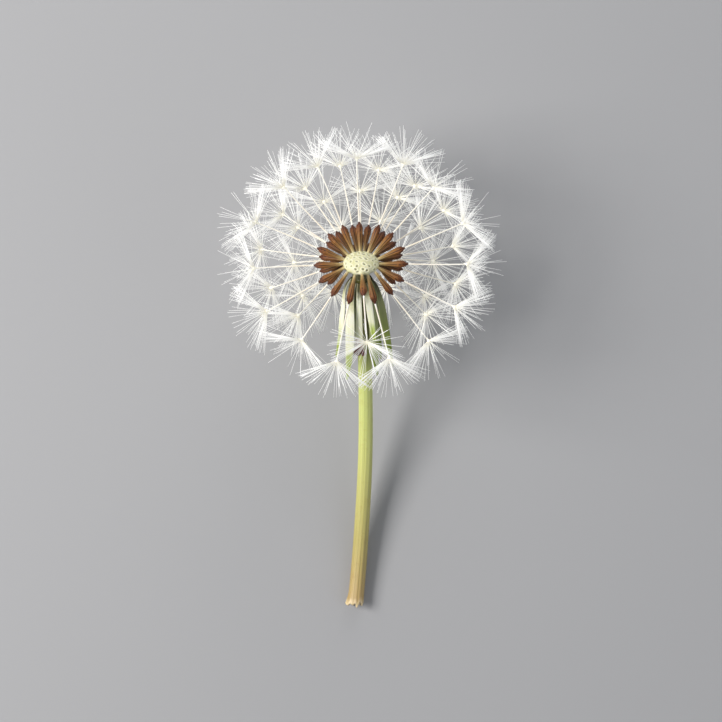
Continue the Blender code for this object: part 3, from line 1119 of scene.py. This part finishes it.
# %% Fruit finish
fruit_brown, shader = plain_material("fruit_brown", (0.3, 0.15, 0.05), 0.6)
along_fruit = attribute(fruit_brown, "along")
ridge_tone = ramp(
    fruit_brown,
    [
        (0.0, (0.80, 0.75, 0.47)),
        (0.12, (0.60, 0.48, 0.21)),
        (0.32, (0.43, 0.25, 0.075)),
        (0.65, (0.36, 0.155, 0.032)),
        (0.86, (0.22, 0.064, 0.013)),
        (1.0, (0.10, 0.018, 0.005)),
    ],
    along_fruit,
)
# The grooves are painted far darker than the ridges: partly the fruit's own colour, partly painted
# shade in the recesses.
groove_tone_and_shade = ramp(
    fruit_brown,
    [
        (0.0, (0.62, 0.53, 0.28)),
        (0.12, (0.30, 0.19, 0.06)),
        (0.32, (0.09, 0.034, 0.007)),
        (0.8, (0.045, 0.010, 0.003)),
        (1.0, (0.035, 0.007, 0.003)),
    ],
    along_fruit,
)
ridge_share = ramp(
    fruit_brown,
    [(0.22, (0.0, 0.0, 0.0)), (0.8, (1.0, 1.0, 1.0))],
    attribute(fruit_brown, "ridge"),
)
striped = mix(fruit_brown, ridge_share, groove_tone_and_shade, ridge_tone)
speckle = noise(fruit_brown, 3200.0, 5.0, 0.65)
speckle_tone = ramp(fruit_brown, [(0.3, (0.62, 0.52, 0.45)), (0.55, (1.0, 1.0, 1.0))], speckle)
speckled = mix(fruit_brown, 0.7, striped, speckle_tone, "MULTIPLY")
# The 'tone' attribute darkens each fruit by a random amount, and more where the seed's tuft hangs low:
# painted shade.
toned = mix(fruit_brown, attribute(fruit_brown, "tone"), speckled, (0.66, 0.54, 0.46), "MULTIPLY")
wire(fruit_brown, toned, shader.inputs["Base Color"])
rough_band(fruit_brown, shader, speckle, 0.45, 0.8)
bump(fruit_brown, shader, noise(fruit_brown, 9000.0, 4.0), 0.00003, 0.7)

# %% Beak finish
beak_tan, shader = plain_material("beak_tan", (0.8, 0.65, 0.45), 0.5)
beak_tone = ramp(
    beak_tan,
    [
        (0.0, (0.62, 0.42, 0.27)),
        (0.05, (0.87, 0.78, 0.64)),
        (0.5, (0.92, 0.87, 0.76)),
        (0.85, (0.94, 0.91, 0.83)),
        (1.0, (0.95, 0.93, 0.84)),
    ],
    attribute(beak_tan, "along"),
)
beak_mottle = noise(beak_tan, 260.0, 1.0)
mottle_tone = ramp(beak_tan, [(0.3, (0.42, 0.38, 0.36)), (0.7, (0.66, 0.65, 0.64))], beak_mottle)
wire(beak_tan, mix(beak_tan, 0.25, beak_tone, mottle_tone, "OVERLAY"), shader.inputs["Base Color"])
rough_band(beak_tan, shader, beak_mottle, 0.35, 0.6)

# %% Tuft finish
# A bristle is a clear hollow hair that passes light on, so a faint painted glow of its own stands in
# for the light that comes through it and lightens the shade where the bristles crowd at the funnel.
tuft_white, shader = plain_material("tuft_white", (0.96, 0.96, 0.93), 0.5)
tuft_tone = ramp(
    tuft_white,
    [
        (0.0, (0.99, 0.95, 0.78)),
        (0.08, (0.98, 0.96, 0.86)),
        (0.3, (0.97, 0.97, 0.95)),
        (1.0, (0.99, 0.99, 0.99)),
    ],
    attribute(tuft_white, "along"),
)
tuft_mottle = noise(tuft_white, 1800.0, 2.0)
hair_tone = ramp(tuft_white, [(0.3, (0.94, 0.93, 0.91)), (0.7, (1.0, 1.0, 1.0))], tuft_mottle)
wire(tuft_white, mix(tuft_white, 0.6, tuft_tone, hair_tone, "MULTIPLY"), shader.inputs["Base Color"])
rough_band(tuft_white, shader, tuft_mottle, 0.4, 0.65)
# Painted glow: the tuft gives off a little light of its own.
shader.inputs["Emission Color"].default_value = (1.0, 0.99, 0.96, 1.0)
shader.inputs["Emission Strength"].default_value = 0.22
for mesh in patterns:
    for finish in (fruit_brown, beak_tan, tuft_white):
        mesh.materials.append(finish)

# %% [markdown]
# ## Setting out the seeds
#
# Each seed is a copy of one pattern with a mesh of its own. Its beak is stretched to the length
# that its place asks for and bowed a little, its tuft is tipped by a few degrees, and the whole
# is spun about its axis, so that no two look the same. The two fans of a tuft stay near level.
# Seeds whose tufts hang low are in the others' shade, so their fruits are given a darker tone.


# %% Copy the seeds into place
TUFT_SWAY = math.radians(11)
BEAK_BOW = 0.25 * MM
FAN_SPIN = math.radians(25)  # how far a tuft's two sides are turned out of level


def keep_off_floor(mesh):
    """A bristle that would reach below the floor is bent along it instead."""
    places = np.zeros(len(mesh.vertices) * 3)
    mesh.vertices.foreach_get("co", places)
    places[2::3] = np.maximum(places[2::3], FLOOR_CLEARANCE)
    mesh.vertices.foreach_set("co", places)


def place_seed(name, chance):
    """A copy of a pattern seed on its own foot and hub."""
    foot, hub_place = seed_places[name]
    mesh = patterns[chance.randrange(PATTERNS)].copy()
    mesh.name = f"{name}_plume"
    places = np.zeros(len(mesh.vertices) * 3)
    mesh.vertices.foreach_get("co", places)
    places = places.reshape(-1, 3)
    part = np.zeros(len(mesh.vertices), dtype=np.float32)
    mesh.attributes["part"].data.foreach_get("value", part)
    height = (hub_place - foot).length
    stretch = (height - FRUIT_LENGTH) / (PLAIN_HUB_HEIGHT - FRUIT_LENGTH)
    in_tuft = part == TUFT_PART
    in_beak = part == BEAK_PART
    sway = [chance.uniform(-TUFT_SWAY, TUFT_SWAY) for _ in "xy"]
    tip = Matrix.Rotation(sway[0], 3, "X") @ Matrix.Rotation(sway[1], 3, "Y")
    crown = places[in_tuft] - np.array([0.0, 0.0, PLAIN_HUB_HEIGHT])
    places[in_tuft] = crown @ np.array(tip).T + np.array([0.0, 0.0, height])
    share = (places[:, 2] - FRUIT_LENGTH) / (PLAIN_HUB_HEIGHT - FRUIT_LENGTH)
    places[in_beak, 2] = FRUIT_LENGTH + share[in_beak] * (height - FRUIT_LENGTH)
    bow = chance.uniform(-BEAK_BOW, BEAK_BOW)
    places[in_beak, 0] += bow * np.sin(math.pi * share[in_beak])
    mesh.vertices.foreach_set("co", places.ravel())
    shade = 0.15 + 0.55 * min(1.0, max(0.0, (foot.z - hub_place.z) / height) / 0.4)
    store(mesh, "tone", np.full(len(mesh.vertices), shade + chance.uniform(-0.15, 0.3)))
    spin = chance.choice((0.0, math.pi)) + chance.uniform(-FAN_SPIN, FAN_SPIN)
    mesh.transform(between(foot, hub_place, spin))
    keep_off_floor(mesh)
    mesh.shade_smooth()
    seed = bpy.data.objects.new(f"{name}_plume", mesh)
    bpy.context.scene.collection.objects.link(seed)
    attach(seed, "root")
    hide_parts(name)
    return stretch


seed_chance = random.Random(23)
stretches = [place_seed(name, seed_chance) for name in seed_names]
for pattern_object in (fruit, bristle, funnel):
    bpy.data.objects.remove(pattern_object, do_unlink=True)
print("beaks stretched by", round(min(stretches), 2), "to", round(max(stretches), 2))
